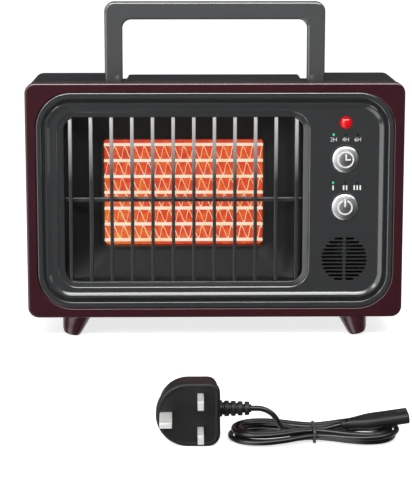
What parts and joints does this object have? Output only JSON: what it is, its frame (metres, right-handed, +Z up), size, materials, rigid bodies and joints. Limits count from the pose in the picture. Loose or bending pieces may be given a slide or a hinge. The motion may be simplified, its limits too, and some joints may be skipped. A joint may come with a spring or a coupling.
{
  "type": "fan heater",
  "caption": "Portable ceramic fan heater with a folding carry handle, a blade grille, push-button controls and a detachable mains lead tied in a hank.",
  "frame": {"origin": "on the floor under the middle of the heater's box, without the free lead", "axes": "+X to the right seen from the front, +Y from the front to the back, +Z up"},
  "size_m": [0.3, 0.3959, 0.2688],
  "materials": {
    "burgundy_shell": "moulded, satin gloss",
    "charcoal_shell": "moulded, fine grain",
    "panel_black": "moulded, satin gloss",
    "grille_silver": "satin silver",
    "handle_grey": "satin grey",
    "steel": "plain steel",
    "button_silver": "metallised, satin",
    "print_white": "white print and inlay",
    "lens_red": "clear red, glossy",
    "light_green": "lit green",
    "light_dark": "smoked clear",
    "board_green": "lacquered board",
    "component_black": "moulded",
    "led_clear": "clear resin",
    "ribbon_grey": "ribbon",
    "heater_fin": "glowing when hot",
    "heater_ceramic": "ceramic, glowing when hot",
    "inner_black": "heat resistant moulding",
    "magnet_grey": "ferrite",
    "bronze": "sintered bronze and copper",
    "component_amber": "relays and capacitors",
    "switch_ivory": "moulded",
    "socket_black": "moulded",
    "wire_red": "insulated wire",
    "cord_black": "soft black jacket",
    "plug_black": "moulded",
    "pin_nickel": "nickel plated",
    "tie_black": "coated wire"
  },
  "bodies": {
    "root": {"front_bezel": "burgundy_shell", "foot_front_left": "burgundy_shell", "foot_front_right": "burgundy_shell", "foot_rear_left": "burgundy_shell", "foot_rear_right": "burgundy_shell", "rear_housing": "charcoal_shell", "back_cover": "charcoal_shell", "front_panel": "panel_black", "grille_blades": "grille_silver", "grille_rail": "grille_silver", "handle_pins": "steel", "foot_screws": "steel", "board_screws": "steel", "fan_screws": "steel", "cover_screws": "steel", "inlet_pins": "steel", "element_terminals": "steel", "thermal_cutout": "steel", "panel_print": "print_white", "indicator_lens": "lens_red", "timer_light_lit": "light_green", "level_light_lit": "light_green", "timer_lights": "light_dark", "level_lights": "light_dark", "control_board": "board_green", "power_board": "board_green", "tact_switches": "component_black", "infrared_receiver": "component_black", "buzzer": "component_black", "indicator_led": "led_clear", "ribbon_cable": "ribbon_grey", "electrode_bars": "heater_fin", "heater_fins": "heater_fin", "ceramic_panel": "heater_ceramic", "element_frame": "inner_black", "air_duct": "inner_black", "fan_frame": "inner_black", "fan_bearings": "bronze", "fan_stator": "bronze", "board_parts": "component_amber", "tip_over_switch": "switch_ivory", "inlet_socket": "socket_black", "inner_wires": "wire_red", "cord_plug_end": "cord_black", "cord_hank": "cord_black", "cord_connector_end": "cord_black", "plug_relief": "cord_black", "mains_plug": "plug_black", "appliance_connector": "plug_black", "plug_pins": "pin_nickel", "cord_tie": "tie_black"},
    "handle": {"handle": "handle_grey", "handle_screws": "steel"},
    "timer_button": {"timer_button": "button_silver", "timer_icon": "print_white"},
    "power_button": {"power_button": "button_silver", "power_icon": "print_white"},
    "impeller": {"fan_impeller": "inner_black", "fan_magnet": "magnet_grey", "fan_shaft": "steel"}
  },
  "joints": [
    {"name": "handle_fold", "type": "hinge", "parent": "root", "child": "handle", "pos_m": [0, -0.023, 0.1998], "axis": [-1, 0, 0], "range_deg": [0, 90]},
    {"name": "timer_press", "type": "slide", "parent": "root", "child": "timer_button", "axis": [0, 1, 0], "range_m": [0, 0.0012], "stiffness_N_per_m": 1200, "springref_m": -0.0002},
    {"name": "power_press", "type": "slide", "parent": "root", "child": "power_button", "axis": [0, 1, 0], "range_m": [0, 0.0012], "stiffness_N_per_m": 1200, "springref_m": -0.0002},
    {"name": "fan_spin", "type": "hinge", "parent": "root", "child": "impeller", "pos_m": [-0.025, 0.02, 0.1129], "axis": [0, 1, 0], "continuous": true}
  ]
}
